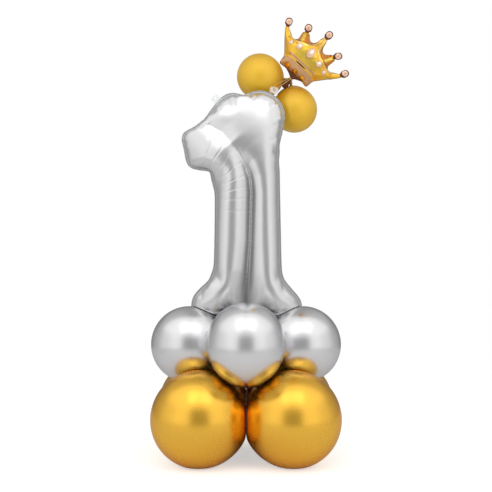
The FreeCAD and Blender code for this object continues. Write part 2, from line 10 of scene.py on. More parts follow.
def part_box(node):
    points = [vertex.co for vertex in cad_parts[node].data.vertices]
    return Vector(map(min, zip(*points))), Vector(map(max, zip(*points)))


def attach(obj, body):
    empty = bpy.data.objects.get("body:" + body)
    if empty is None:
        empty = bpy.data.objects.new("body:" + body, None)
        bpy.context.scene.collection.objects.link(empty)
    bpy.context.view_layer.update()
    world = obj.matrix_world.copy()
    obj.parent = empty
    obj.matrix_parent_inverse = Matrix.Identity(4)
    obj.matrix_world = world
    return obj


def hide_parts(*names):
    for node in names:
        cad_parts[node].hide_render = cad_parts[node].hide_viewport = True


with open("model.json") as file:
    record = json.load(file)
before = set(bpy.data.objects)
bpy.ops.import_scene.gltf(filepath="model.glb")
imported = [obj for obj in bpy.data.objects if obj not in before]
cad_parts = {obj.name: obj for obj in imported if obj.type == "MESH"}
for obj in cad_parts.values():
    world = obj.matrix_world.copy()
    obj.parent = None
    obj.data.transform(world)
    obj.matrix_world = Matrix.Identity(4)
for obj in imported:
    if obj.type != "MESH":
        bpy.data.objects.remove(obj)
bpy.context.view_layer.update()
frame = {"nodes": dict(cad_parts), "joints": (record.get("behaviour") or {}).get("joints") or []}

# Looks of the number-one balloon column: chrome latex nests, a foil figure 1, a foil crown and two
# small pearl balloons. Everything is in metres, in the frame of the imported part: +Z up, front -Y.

JOINTS = {joint["name"]: Vector(joint["pos_m"]) for joint in frame["joints"]}
NUMBER_WAIST = JOINTS["number_turn"]  # where the middle ribbon holds the number's tail
CROWN_WAIST = JOINTS["crown_tilt"]  # where the ribbon holds the crown's tail
COLUMN = Vector((NUMBER_WAIST.x, 0, 0))


# ---------------------------------------------------------------- shader nodes


class Graph:
    """Shader nodes of a world or a material, and short ways to add to them."""

    def __init__(self, owner):
        owner.use_nodes = True
        self.nodes, self.links = owner.node_tree.nodes, owner.node_tree.links

    def add(self, kind, **settings):
        """New node with these settings."""
        node = self.nodes.new(f"ShaderNode{kind}")
        for name, value in settings.items():
            setattr(node, name, value)
        return node

    def join(self, source, target):
        """Feeds an input with an output, a node's first output or a plain value."""
        if hasattr(source, "outputs"):
            source = source.outputs[0]
        if isinstance(source, bpy.types.NodeSocket):
            self.links.new(source, target)
        else:
            target.default_value = source

    def place(self):
        """Position on the object."""
        return self.add("TexCoord").outputs["Object"]

    def math(self, operation, first, second=0.0):
        """Sum, product or other function of two values."""
        node = self.add("Math", operation=operation)
        self.join(first, node.inputs[0])
        self.join(second, node.inputs[1])
        return node

    def span(self, value, low, high, to_low=0.0, to_high=1.0, smooth=False):
        """Maps a value from one span to another."""
        node = self.add("MapRange", interpolation_type="SMOOTHSTEP" if smooth else "LINEAR")
        for socket, given in zip(node.inputs, (value, low, high, to_low, to_high)):
            self.join(given, socket)
        return node

    def blend(self, amount, first, second):
        """Colour between two colours."""
        node = self.add("Mix", data_type="RGBA")
        for index, given in ((0, amount), (6, first), (7, second)):
            self.join((*given, 1) if isinstance(given, tuple) else given, node.inputs[index])
        return node.outputs[2]

    def ramp(self, value, stops):
        """Smooth grey level that follows a value through (value, level) stops."""
        node = self.add("ValToRGB")
        node.color_ramp.interpolation = "EASE"
        elements = node.color_ramp.elements
        for position, _ in stops[1:-1]:
            elements.new(position)
        for element, (_, level) in zip(elements, stops):
            element.color = (level, level, level, 1)
        self.join(value, node.inputs["Fac"])
        return node.outputs["Color"]

    def glow(self, strength, colour=(1, 1, 1, 1)):
        """Emission of this strength and colour."""
        node = self.add("Emission")
        self.join(strength, node.inputs["Strength"])
        self.join(colour, node.inputs["Color"])
        return node


class Paint(Graph):
    """Material of a piece, built on one Principled shader."""

    def __init__(self, name, **sockets):
        self.material = bpy.data.materials.new(name)
        super().__init__(self.material)
        self.shader = self.nodes["Principled BSDF"]
        for socket, value in sockets.items():
            self.feed(socket.replace("_", " "), value)

    def feed(self, socket, source):
        """Feeds one of the shader's sockets."""
        self.join(source, self.shader.inputs[socket])

    def attribute(self, name):
        """Value stored on the mesh."""
        return self.add("Attribute", attribute_name=name)

    def noise(self, scale, detail=2.0, rough=0.5):
        """Cloudy value."""
        node = self.add("TexNoise")
        sockets = {"Vector": self.place(), "Scale": scale, "Detail": detail, "Roughness": rough}
        for socket, value in sockets.items():
            self.join(value, node.inputs[socket])
        return node

    def bump(self, height, depth):
        """Surface relief of the given depth in metres."""
        node = self.add("Bump")
        self.join(height, node.inputs["Height"])
        self.join(depth, node.inputs["Distance"])
        return node


# ---------------------------------------------------------------- camera and studio

EYE_HEIGHT = 0.685
EYE_DISTANCE = 3.0
LENS = 67.1
FLOOR_HALF = 7.0
FLOOR_GREY = (0.82, 0.82, 0.82, 1)
FLOOR_LIFT = 0.52  # how much the camera sees the floor lightened near the object
FLOOR_FADE = (0.8, 2.4)  # from plain floor to white surroundings, by distance from the middle
WORLD_SOFT = 0.62  # how bright the surroundings are as light, where 1 is white to look at
SWEEP_RADIUS = 2.6
SWEEP_TOP = 3.2
SWEEP_STEPS = 96
SWEEP_LEVEL = 1.2
SWEEP_RISE = (1.15, 2.2)  # heights between which it changes from its low to its high levels
# Share of the half turn from the camera round to the back, and how bright the sweep is there.
SWEEP_LOW = [
    (0.0, 0.30),
    (0.07, 0.34),
    (0.16, 0.86),
    (0.24, 0.90),
    (0.40, 0.72),
    (0.62, 0.42),
    (0.80, 0.26),
    (1.0, 0.22),
]
SWEEP_HIGH = [(0.0, 0.74), (0.14, 0.94), (0.30, 1.0), (0.50, 0.92), (0.65, 0.5), (1.0, 0.34)]


def link(name, data):
    """New object in the scene."""
    item = bpy.data.objects.new(name, data)
    bpy.context.scene.collection.objects.link(item)
    return item


def add_camera():
    """Level camera in front of the column."""
    camera = link("camera", bpy.data.cameras.new("camera"))
    camera.data.lens = LENS
    camera.location = COLUMN + Vector((0, -EYE_DISTANCE, EYE_HEIGHT))
    camera.rotation_euler = (math.pi / 2, 0, 0)
    bpy.context.scene.camera = camera
    bpy.context.scene.view_settings.view_transform = "Standard"


def softbox(name, place, wide, tall, radiance):
    """Rectangular area light of the given radiance, aimed at the column, unseen by the camera."""
    aim = COLUMN + Vector((0, 0, 0.75))
    light = bpy.data.lights.new(name, "AREA")
    light.shape = "RECTANGLE"
    light.size, light.size_y = wide, tall
    light.energy = radiance * math.pi * wide * tall
    item = link(name, light)
    item.location = COLUMN + Vector(place)
    item.rotation_euler = (aim - item.location).to_track_quat("-Z", "Y").to_euler()
    item.visible_camera = False
    return item


def stage_piece(name, points, faces):
    """Piece of the stage, with the nodes and the surface socket of its empty material."""
    mesh = bpy.data.meshes.new(name)
    mesh.from_pydata(points, [], faces)
    item = link(name, mesh)
    material = bpy.data.materials.new(name)
    graph = Graph(material)
    graph.nodes.clear()
    mesh.materials.append(material)
    return item, graph, graph.add("OutputMaterial").inputs["Surface"]


def add_world():
    """White surroundings to look at, and a softer even light from all round."""
    world = bpy.data.worlds.new("studio")
    bpy.context.scene.world = world
    graph = Graph(world)
    background = graph.nodes["Background"]
    background.inputs["Color"].default_value = (1, 1, 1, 1)
    path = graph.add("LightPath")
    seen = path.outputs["Is Camera Ray"]
    for ray in ("Is Glossy Ray", "Is Transmission Ray"):
        seen = graph.math("MAXIMUM", seen, path.outputs[ray])
    graph.join(graph.span(seen, 0.0, 1.0, WORLD_SOFT, 1.0), background.inputs["Strength"])


def add_floor():
    """Pale floor that keeps the object's shadow and fades into the white surroundings."""
    half = FLOOR_HALF
    corners = [(-half, -half, 0), (half, -half, 0), (half, half, 0), (-half, half, 0)]
    _, graph, surface = stage_piece("floor", corners, [(0, 1, 2, 3)])
    to_camera = graph.add("LightPath").outputs["Is Camera Ray"]
    paint = graph.add("BsdfDiffuse")
    graph.join(FLOOR_GREY, paint.inputs["Color"])
    near = graph.add("AddShader")
    graph.join(paint, near.inputs[0])
    graph.join(graph.glow(graph.math("MULTIPLY", to_camera, FLOOR_LIFT)), near.inputs[1])
    far = graph.glow(graph.span(to_camera, 0.0, 1.0, 0.6, 1.0))
    distance = graph.add("VectorMath", operation="LENGTH")
    graph.join(graph.place(), distance.inputs[0])
    mix = graph.add("MixShader")
    fade = graph.span(distance.outputs["Value"], *FLOOR_FADE, smooth=True)
    for socket, source in zip(mix.inputs, (fade, near, far)):
        graph.join(source, socket)
    graph.join(mix, surface)


def add_sweep():
    """Curved paper sweep round the stage, which only reflections see.

    It is dim behind the camera, brightest to both sides of it and fades towards the back.
    """
    turns = [2 * math.pi * step / SWEEP_STEPS for step in range(SWEEP_STEPS)]
    rim = [(SWEEP_RADIUS * math.sin(turn), -SWEEP_RADIUS * math.cos(turn)) for turn in turns]
    points = [(x, y, z) for z in (0.004, SWEEP_TOP) for x, y in rim]
    faces = [
        (step, (step + 1) % SWEEP_STEPS, SWEEP_STEPS + (step + 1) % SWEEP_STEPS, SWEEP_STEPS + step)
        for step in range(SWEEP_STEPS)
    ]
    faces.append(tuple(range(SWEEP_STEPS, 2 * SWEEP_STEPS)))
    sweep, graph, surface = stage_piece("sweep", points, faces)
    sweep.location = COLUMN
    sweep.visible_camera = sweep.visible_diffuse = sweep.visible_shadow = False
    sweep.visible_transmission = sweep.visible_volume_scatter = False
    split = graph.add("SeparateXYZ")
    graph.join(graph.place(), split.inputs[0])
    x, y, z = split.outputs
    turn = graph.math("ARCTAN2", graph.math("ABSOLUTE", x), graph.math("MULTIPLY", y, -1.0))
    share = graph.math("DIVIDE", turn, math.pi)
    low, high = graph.ramp(share, SWEEP_LOW), graph.ramp(share, SWEEP_HIGH)
    colour = graph.blend(graph.span(z, *SWEEP_RISE, smooth=True), low, high)
    graph.join(graph.glow(SWEEP_LEVEL, colour), surface)


def add_studio():
    """Two tall softboxes beside the camera, a wide one over the front, the sweep and the floor."""
    for name, side in (("softbox_left", -1), ("softbox_right", 1)):
        box = softbox(name, (side * 1.5, -1.7, 1.1), 1.5, 2.0, 1.4)
        box.visible_glossy = False
    softbox("softbox_top", (0, -1.45, 2.6), 2.4, 1.5, 0.70)
    add_world()
    add_sweep()
    add_floor()


# ---------------------------------------------------------------- materials


def chrome_latex(name, stretched, thick, edge, roughness, coat):
    """Metallic latex: paler where it is stretched thin, deeper towards the neck and knot."""
    paint = Paint(name, Metallic=1.0, Coat_Weight=coat, Coat_Roughness=0.2, Specular_Tint=edge)
    paint.feed("Coat IOR", 1.7)
    clouds = paint.noise(9.0, 4.0, 0.6)
    depth = paint.span(paint.attribute("along"), 0.62, 0.98, smooth=True)
    cloudy = paint.span(clouds, 0.3, 0.7, -0.04, 0.05)
    amount = paint.math("ADD", depth, cloudy)
    amount.use_clamp = True
    paint.feed("Base Color", paint.blend(amount, stretched, thick))
    paint.feed("Roughness", paint.span(clouds, 0.3, 0.7, roughness - 0.02, roughness + 0.03))
    return paint.material


def pearl_latex():
    """Pearly gold latex of the small balloons."""
    paint = Paint("pearl_gold_latex", Metallic=0.25, Coat_Weight=0.15, Coat_Roughness=0.3)
    clouds = paint.noise(14.0, 4.0, 0.6)
    depth = paint.span(paint.attribute("along"), 0.6, 0.97, smooth=True)
    amount = paint.math("ADD", depth, paint.span(clouds, 0.3, 0.7, -0.05, 0.06))
    amount.use_clamp = True
    paint.feed("Base Color", paint.blend(amount, (0.78, 0.46, 0.020), (0.62, 0.31, 0.008)))
    paint.feed("Roughness", paint.span(clouds, 0.3, 0.7, 0.38, 0.46))
    return paint.material


def silver_foil():
    """Mirror-bright silver film with faint crinkles, dulled at the weld, with painted shade
    darkening it along the stem's crease.
    """
    paint = Paint("silver_film", Metallic=0.88)
    weld = paint.attribute("weld")
    # Painted shade: the film's colour falls to dark grey where the stem's crease is deep.
    deep = paint.span(paint.attribute("deep").outputs["Fac"], 0.12, 0.6)
    film = paint.blend(deep, (0.67, 0.67, 0.67), (0.12, 0.12, 0.12))
    paint.feed("Base Color", paint.blend(weld, film, (0.44, 0.44, 0.44)))
    haze = paint.noise(5.0, 3.0, 0.6)
    base = paint.span(haze, 0.3, 0.7, 0.21, 0.27)
    paint.feed("Roughness", paint.math("ADD", base, paint.math("MULTIPLY", weld, 0.08)))
    crinkle = paint.math("MULTIPLY", paint.noise(55.0, 3.0, 0.55), 0.16)
    wander = paint.math("MULTIPLY", paint.noise(9.0, 2.0), 5.0)
    turn = paint.math("MULTIPLY", paint.attribute("turn").outputs["Fac"], 30.0)
    wave = paint.math("SINE", paint.math("ADD", turn, wander), 0.0)
    line = paint.math("POWER", paint.span(wave, -1.0, 1.0, 0.0, 1.0), 16.0)
    line = paint.math("MULTIPLY", line, paint.attribute("creased").outputs["Fac"])
    paint.feed("Normal", paint.bump(paint.math("SUBTRACT", crinkle, line), 0.0006))
    return paint.material


def gold_foil():
    """Gold film of the crown under its transparent and opaque inks."""
    paint = Paint("gold_film")
    ink = paint.nodes.new("ShaderNodeCombineColor")
    for socket, name in (("Red", "red"), ("Green", "green"), ("Blue", "blue")):
        paint.join(paint.attribute(name).outputs["Fac"], ink.inputs[socket])
    paint.feed("Base Color", ink)
    opaque = paint.attribute("opaque").outputs["Fac"]
    paint.feed("Metallic", paint.span(opaque, 0, 1, 1.0, 0.1))
    haze = paint.span(paint.noise(8.0, 3.0), 0.3, 0.7, 0.14, 0.22)
    paint.feed("Roughness", paint.math("ADD", haze, paint.math("MULTIPLY", opaque, 0.15)))
    paint.feed("Normal", paint.bump(paint.noise(90.0, 3.0), 0.0001))
    return paint.material


def clear_film():
    """Clear polyester film of the tabs and valves."""
    paint = Paint("clear_film", Alpha=0.45, Base_Color=(0.86, 0.88, 0.87, 1), IOR=1.5)
    paint.feed("Roughness", paint.span(paint.noise(40.0), 0.3, 0.7, 0.06, 0.16))
    paint.feed("Normal", paint.bump(paint.noise(120.0, 3.0), 0.0003))
    return paint.material


def satin_ribbon():
    """Gold curling ribbon: fine ribs along its length."""
    paint = Paint("ribbon", Metallic=0.5, Sheen_Weight=0.2)
    ribs = paint.noise(900.0, 1.0, 0.5)
    paint.feed("Base Color", paint.blend(ribs, (0.62, 0.42, 0.12), (0.78, 0.56, 0.20)))
    paint.feed("Roughness", paint.span(ribs, 0.3, 0.7, 0.3, 0.42))
    paint.feed("Normal", paint.bump(ribs, 0.0001))
    return paint.material


# ---------------------------------------------------------------- mesh helpers


def build(name, points, faces, material, body, slot, *nodes):
    """Smooth mesh piece that rides on a body and stands for CAD nodes."""
    mesh = bpy.data.meshes.new(name)
    mesh.from_pydata([tuple(point) for point in points], [], [tuple(face) for face in faces])
    mesh.validate()
    mesh.shade_smooth()
    item = link(name, mesh)
    mesh.materials.append(material)
    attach(item, body)
    if nodes:
        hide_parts(*nodes)
    return item


def store(item, name, values):
    """Puts one value for each vertex on the mesh."""
    layer = item.data.attributes.new(name, "FLOAT", "POINT")
    layer.data.foreach_set("value", np.asarray(values, np.float32))


def subdivide(item, levels=1):
    """Subdivision surface."""
    modifier = item.modifiers.new("subdivide", "SUBSURF")
    modifier.levels = modifier.render_levels = levels


def refine(item, levels):
    """Subdivides a piece for good, so that finer values can be stored on it."""
    subdivide(item, levels)
    bpy.context.view_layer.update()
    finer = item.evaluated_get(bpy.context.evaluated_depsgraph_get())
    item.data = bpy.data.meshes.new_from_object(finer)
    item.modifiers.clear()


def recall(item, name):
    """Values stored on the mesh's points."""
    layer = item.data.attributes[name].data
    values = np.zeros(len(layer), dtype=np.float32)
    layer.foreach_get("value", values)
    return values.astype(float)


def band_faces(starts, count):
    """Faces between closed rings of count points, whose first points are at these starts."""
    return [
        (one + step, two + step, two + (step + 1) % count, one + (step + 1) % count)
        for one, two in zip(starts, starts[1:])
        for step in range(count)
    ]


def evened(loop, passes):
    """Closed loop of points with its waves smoothed."""
    for _ in range(passes):
        loop = (np.roll(loop, 1, axis=0) + 2 * loop + np.roll(loop, -1, axis=0)) / 4
    return loop


def smooth_most(first, second, width):
    """The larger of two values, rounded where they cross."""
    return 0.5 * (first + second + np.sqrt((first - second) ** 2 + width**2))


# ---------------------------------------------------------------- latex balloons

ROUND_STEPS = 96  # points round a balloon
GAP = 0.00005  # from a balloon to the plane where it presses on another
EDGE_ROUNDING = 0.006  # how softly the pressed flat runs into the round

# Radius of the ball, of the neck and of the knot, how far from its centre the ball ends behind, and
# how softly it runs into the neck.
KINDS = {
    "gold": {"ball": 0.152, "neck": 0.0055, "knot": 0.0042, "behind": 0.171, "soft": 0.012},
    "silver": {"ball": 0.124, "neck": 0.005, "knot": 0.0040, "behind": 0.152, "soft": 0.018},
    "small": {"ball": 0.0765, "neck": 0.0035, "knot": 0.0028, "behind": 0.0815, "soft": 0.004},
}
SMALL_KNOT_AT = 0.089  # from a small balloon's centre to its knot
LIP_GAP = 0.0026  # from the knot to the rolled lip
LIP_LENGTH = 0.002
LIP_FLARE = 0.0012


def latex_profile(kind, knot_at):
    """Half outline from the crown of the ball to the lip: (distance along the axis, radius)."""
    ball, neck, knot = kind["ball"], kind["neck"], kind["knot"]
    front = np.linspace(0, math.pi / 2, 30)
    outline = [(ball * math.cos(a), ball * math.sin(a)) for a in front]
    throat = knot_at - knot
    for share in np.sin(np.linspace(0, math.pi / 2, 40))[1:]:
        behind = share * kind["behind"]
        round_part = ball * (1 - share**2) ** 0.56
        rounding = kind["soft"] * min(1.0, share * 1.6)
        outline.append((-behind, float(smooth_most(round_part, neck, rounding))))
    last = outline[-1]
    for share in np.linspace(0, 1, 5)[1:]:
        sunk = last[1] + (neck - last[1]) * math.sin(share * math.pi / 2)
        outline.append((last[0] + (-throat - last[0]) * share, sunk))
    for turn in np.linspace(0, math.pi, 9)[1:]:
        bulge = knot * math.sin(turn)
        outline.append((-knot_at + knot * math.cos(turn), neck + bulge))
    start = -knot_at - knot - LIP_GAP
    for turn in np.linspace(0, math.pi, 7):
        radius = neck + LIP_FLARE * (0.5 + 0.5 * math.sin(turn))
        outline.append((start - LIP_LENGTH * turn / math.pi, radius))
    outline.append((start - LIP_LENGTH, 0.0))
    return outline


def ball_centre(node, radius, neck):
    """Centre of a node's ball, from the sides of its box that the neck doesn't reach."""
    low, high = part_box(node)
    middle = [low[i] + radius if neck[i] > 0.01 else high[i] - radius for i in range(3)]
    return Vector(middle)


def latex_balloon(node, kind, centre, knot_end, material, slot, body, flats=(), shape=None):
    """One latex balloon, its neck pointing from its centre to its knot, pressed flat where told.

    Each flat is (direction, distance from the centre). shape stretches the round form first.
    """
    axis = centre - knot_end
    outline = latex_profile(KINDS[kind], axis.length)
    turn = axis.to_track_quat("Z", "Y").to_matrix()
    rings = np.array(outline[1:-1])
    angles = np.arange(ROUND_STEPS) * math.tau / ROUND_STEPS
    ring_x = np.outer(rings[:, 1], np.cos(angles)).ravel()
    ring_y = np.outer(rings[:, 1], np.sin(angles)).ravel()
    ring_z = np.repeat(rings[:, 0], ROUND_STEPS)
    points = np.c_[ring_x, ring_y, ring_z]
    points = np.vstack([[0, 0, outline[0][0]], points, [0, 0, outline[-1][0]]])
    points = points @ np.array(turn).T
    if shape:
        points = shape(points)
    for direction, distance in flats:
        normal = np.array(unit(direction))
        beyond = points @ normal - distance
        points = points + np.outer(pressed(beyond) - beyond, normal)
    points = points + np.array(centre)
    starts = [1 + ring * ROUND_STEPS for ring in range(len(rings))]
    faces = band_faces(starts, ROUND_STEPS)
    last, tip = starts[-1], len(points) - 1
    for step in range(ROUND_STEPS):
        after = (step + 1) % ROUND_STEPS
        faces.append((0, 1 + step, 1 + after))
        faces.append((tip, last + after, last + step))
    item = build(node, points, faces, material, body, slot, node)
    store(item, "along", np.r_[0, np.repeat(along_axis(rings, axis.length), ROUND_STEPS), 1])


def along_axis(rings, knot_at):
    """How far each ring lies from the crown, 0, to the knot, 1."""
    front = rings[0, 0]
    return np.clip((front - rings[:, 0]) / (front + knot_at), 0, 1)


def pressed(beyond):
    """Keeps points on the near side of a flat, which they reach through a soft edge."""
    near = EDGE_ROUNDING - np.clip(beyond, -EDGE_ROUNDING, EDGE_ROUNDING)
    return np.where(beyond < -EDGE_ROUNDING, beyond, -(near**2) / (4 * EDGE_ROUNDING))


def unit(vector):
    """The vector at length 1."""
    return Vector(vector).normalized()


def contacts(balls):
    """Flats where each pair of balls presses together: name -> [(direction, distance)]."""
    flats = {name: [] for name in balls}
    names = list(balls)
    for index, one in enumerate(names):
        for other in names[index + 1:]:
            apart = balls[other][0] - balls[one][0]
            distance = apart.length
            near, far = balls[one][1], balls[other][1]
            if distance >= near + far:
                continue
            share = (distance**2 + near**2 - far**2) / (2 * distance)
            flats[one].append((apart, share - GAP))
            flats[other].append((-apart, distance - share - GAP))
    return flats


# Chrome latex: colour where it is stretched, where it is thick and at the edge, roughness and coat.
GOLD_LATEX = ((0.96, 0.53, 0.032), (0.70, 0.26, 0.006), (0.88, 0.58, 0.20, 1), 0.27, 0.6)
SILVER_LATEX = ((0.74, 0.735, 0.745), (0.50, 0.49, 0.50), (0.78, 0.78, 0.80, 1), 0.25, 0.1)
KNOT_FROM_AXIS = 0.023
NECK_FALL = {"gold": 0.0, "silver": 0.064}  # from the ball's centre to the axis, along its neck
GOLD_CORNERS = {
    "front_left": (-1, -1),
    "front_right": (1, -1),
    "back_left": (-1, 1),
    "back_right": (1, 1),
}
SILVER_SIDES = {"front": (0, -1), "back": (0, 1), "left": (-1, 0), "right": (1, 0)}


def nest_balls():
    """Centre, radius, knot and kind of the eight big balloons."""
    sides = {f"gold_balloon_{corner}": ("gold", way) for corner, way in GOLD_CORNERS.items()}
    sides |= {f"silver_balloon_{side}": ("silver", way) for side, way in SILVER_SIDES.items()}
    balls = {}
    for node, (kind, (x, y)) in sides.items():
        radius, fall = KINDS[kind]["ball"], NECK_FALL[kind]
        centre = ball_centre(node, radius, (-x, -y, -fall))
        if x == 0:
            centre.x = COLUMN.x
        if y == 0:
            centre.y = 0
        meet = Vector((COLUMN.x, 0, centre.z - fall))
        balls[node] = (centre, radius, meet + unit(centre - meet) * KNOT_FROM_AXIS, kind)
    return balls


def egg(wide, tall, taper, lift):
    """Stretch of a round form: narrower across, taller, slimmer below than above, and lifted."""
    ball = KINDS["silver"]["ball"]
    def stretch(points):
        across = wide * (1 + taper * points[:, 2] / ball)
        off = np.linalg.norm(points, axis=1)
        shift = lift * np.clip((1.35 * ball - off) / (0.25 * ball), 0, 1)
        stretched = points * np.c_[across, np.ones(len(points)), np.full(len(points), tall)]
        return stretched + np.outer(shift, (0, 0, 1))
    return stretch


def add_nests():
    """Lower nest of four gold balloons and upper nest of four silver ones."""
    balls = nest_balls()
    flats = contacts({node: ball[:2] for node, ball in balls.items()})
    gold = chrome_latex("gold_latex", *GOLD_LATEX)
    silver = chrome_latex("silver_latex", *SILVER_LATEX)
    for node, (centre, _, knot, kind) in balls.items():
        pressed_at = list(flats[node])
        if kind == "gold":
            pressed_at.append(((0, 0, -1), centre.z))
            latex_balloon(node, kind, centre, knot, gold, "gold_latex", "base", pressed_at)
        else:
            middle = "front" in node or "back" in node
            shape = egg(wide=0.975, tall=1.05, taper=0.03, lift=0.008) if middle else None
            where = (centre, knot, silver, "silver_latex", "base", pressed_at, shape)
            latex_balloon(node, kind, *where)


def add_small_balloons():
    """The two small balloons beside the crown, tied neck to neck."""
    pearl = pearl_latex()
    tie = CROWN_WAIST + Vector((-0.001, 0.018, -0.001))
    for side, neck in (("upper", (1, 0.1, -0.1)), ("lower", (-0.14, -0.1, 1))):
        node = f"topper_balloon_{side}"
        centre = ball_centre(node, KINDS["small"]["ball"], neck)
        knot = centre + unit(tie - centre) * SMALL_KNOT_AT
        latex_balloon(node, "small", centre, knot, pearl, "pearl_gold_latex", "topper")


# ---------------------------------------------------------------- foil balloons


def rounded(corners, step):
    """Closed outline through (x, z, rounding) corners, as points a step apart."""
    points = []
    count = len(corners)
    for index, (x, z, radius) in enumerate(corners):
        here = Vector((x, z))
        back = (Vector(corners[index - 1][:2]) - here).normalized()
        ahead = (Vector(corners[(index + 1) % count][:2]) - here).normalized()
        half_turn = (math.pi - back.angle(ahead)) / 2
        tangent = radius * math.tan(half_turn)
        start, end = here + back * tangent, here + ahead * tangent
        middle = here + (back + ahead).normalized() * (radius / math.cos(half_turn))
        for share in np.linspace(0, 1, max(2, int(2 * half_turn * radius / step) + 2)):
            on_chord = start.lerp(end, share) - middle
            points.append(middle + on_chord.normalized() * radius)
    loop = np.array([tuple(point) for point in points + points[:1]])
    run = np.r_[0, np.cumsum(np.linalg.norm(np.diff(loop, axis=0), axis=1))]
    at = np.arange(int(run[-1] / step)) * run[-1] / int(run[-1] / step)
    return np.c_[np.interp(at, run, loop[:, 0]), np.interp(at, run, loop[:, 1])]


def inside(points, outline):
    """Which points lie within a closed outline."""
    x, y = points[:, 0], points[:, 1]
    within = np.zeros(len(points), bool)
    for (x1, y1), (x2, y2) in zip(outline, np.roll(outline, -1, axis=0)):
        if y1 != y2:
            within ^= ((y1 > y) != (y2 > y)) & (x < (x2 - x1) * (y - y1) / (y2 - y1) + x1)
    return within


def from_line(places, corners):
    """Distance of flat places from a line through corners."""
    nearest = np.full(len(places), np.inf)
    for start, end in zip(np.array(corners), np.array(corners[1:])):
        along = end - start
        share = np.clip((places - start) @ along / (along @ along), 0, 1)
        away = np.linalg.norm(places - start - np.outer(share, along), axis=1)
        nearest = np.minimum(nearest, away)
    return nearest


def distance_to(points, outline):
    """Distance from each point to a closed outline."""
    return from_line(points, np.vstack([outline, outline[:1]]))


def flat_panel(corners, spacing):
    """Flat film cut to an outline, as triangles: points, faces and how many points are its edge."""
    edge = rounded(corners, spacing)
    low, high = edge.min(0), edge.max(0)
    chance = np.random.default_rng(1)
    rows = []
    for row, z in enumerate(np.arange(low[1], high[1], spacing * math.sqrt(3) / 2)):
        x = np.arange(low[0] + (row % 2) * spacing / 2, high[0], spacing)
        rows.append(np.c_[x, np.full(len(x), z)])
    points = np.vstack(rows)
    points = points + chance.uniform(-0.12, 0.12, points.shape) * spacing
    points = points[inside(points, edge)]
    points = points[distance_to(points, edge) > 0.6 * spacing]
    count = len(edge)
    ring = [(i, (i + 1) % count) for i in range(count)]
    every = [Vector(point) for point in np.vstack([edge, points])]
    points, _, faces, _, _, _ = delaunay_2d_cdt(every, ring, [], 1, 1e-7)
    points, faces = np.array([tuple(point) for point in points]), np.array(faces)
    one, two, three = (points[faces[:, i]] for i in range(3))
    across, up = two - one, three - one
    clockwise = across[:, 0] * up[:, 1] - across[:, 1] * up[:, 0] < 0
    faces[clockwise] = faces[clockwise][:, ::-1]
    return points, faces, count


FOIL_STRETCH = 80.0  # how hard the film resists being pulled
FOIL_GATHER = 20.0  # how hard it resists being gathered
FOIL_BENDING = 5.0
FOIL_PRESSURE = 30.0


def inflate(points, faces, frames):
    """Blows up a closed flat bag of film that can't stretch, so that it swells and creases."""
    mesh = bpy.data.meshes.new("bag")
    mesh.from_pydata(points.tolist(), [], faces.tolist())
    bag = link("bag", mesh)
    modifier = bag.modifiers.new("film", "CLOTH")
    film = modifier.settings
    film.quality = 8
    film.mass = 0.3
    film.air_damping = 1
    film.tension_stiffness = FOIL_STRETCH
    film.compression_stiffness = FOIL_GATHER
    film.shear_stiffness = 1
    film.bending_stiffness = FOIL_BENDING
    film.tension_damping = film.compression_damping = film.shear_damping = 5
    film.bending_damping = 0.5
    film.use_pressure = True
    film.uniform_pressure_force = FOIL_PRESSURE
    film.effector_weights.gravity = 0
    modifier.collision_settings.use_collision = False
    modifier.point_cache.frame_end = frames
    scene = bpy.context.scene
    for moment in range(1, frames + 1):
        scene.frame_set(moment)
    shape = bag.evaluated_get(bpy.context.evaluated_depsgraph_get()).to_mesh()
    swollen = np.empty(len(shape.vertices) * 3)
    shape.vertices.foreach_get("co", swollen)
    scene.frame_set(1)
    bpy.data.objects.remove(bag)
    return swollen.reshape(-1, 3)


def square_up(swollen, flat):
    """Turn in its own plane that lays a swollen bag's seam over the flat one, and its middle."""
    seam, cut = swollen[:, [0, 2]], flat[:, [0, 2]]
    seam_middle, cut_middle = seam.mean(0), cut.mean(0)
    left, _, right = np.linalg.svd((seam - seam_middle).T @ (cut - cut_middle))
    return right.T @ left.T, seam_middle


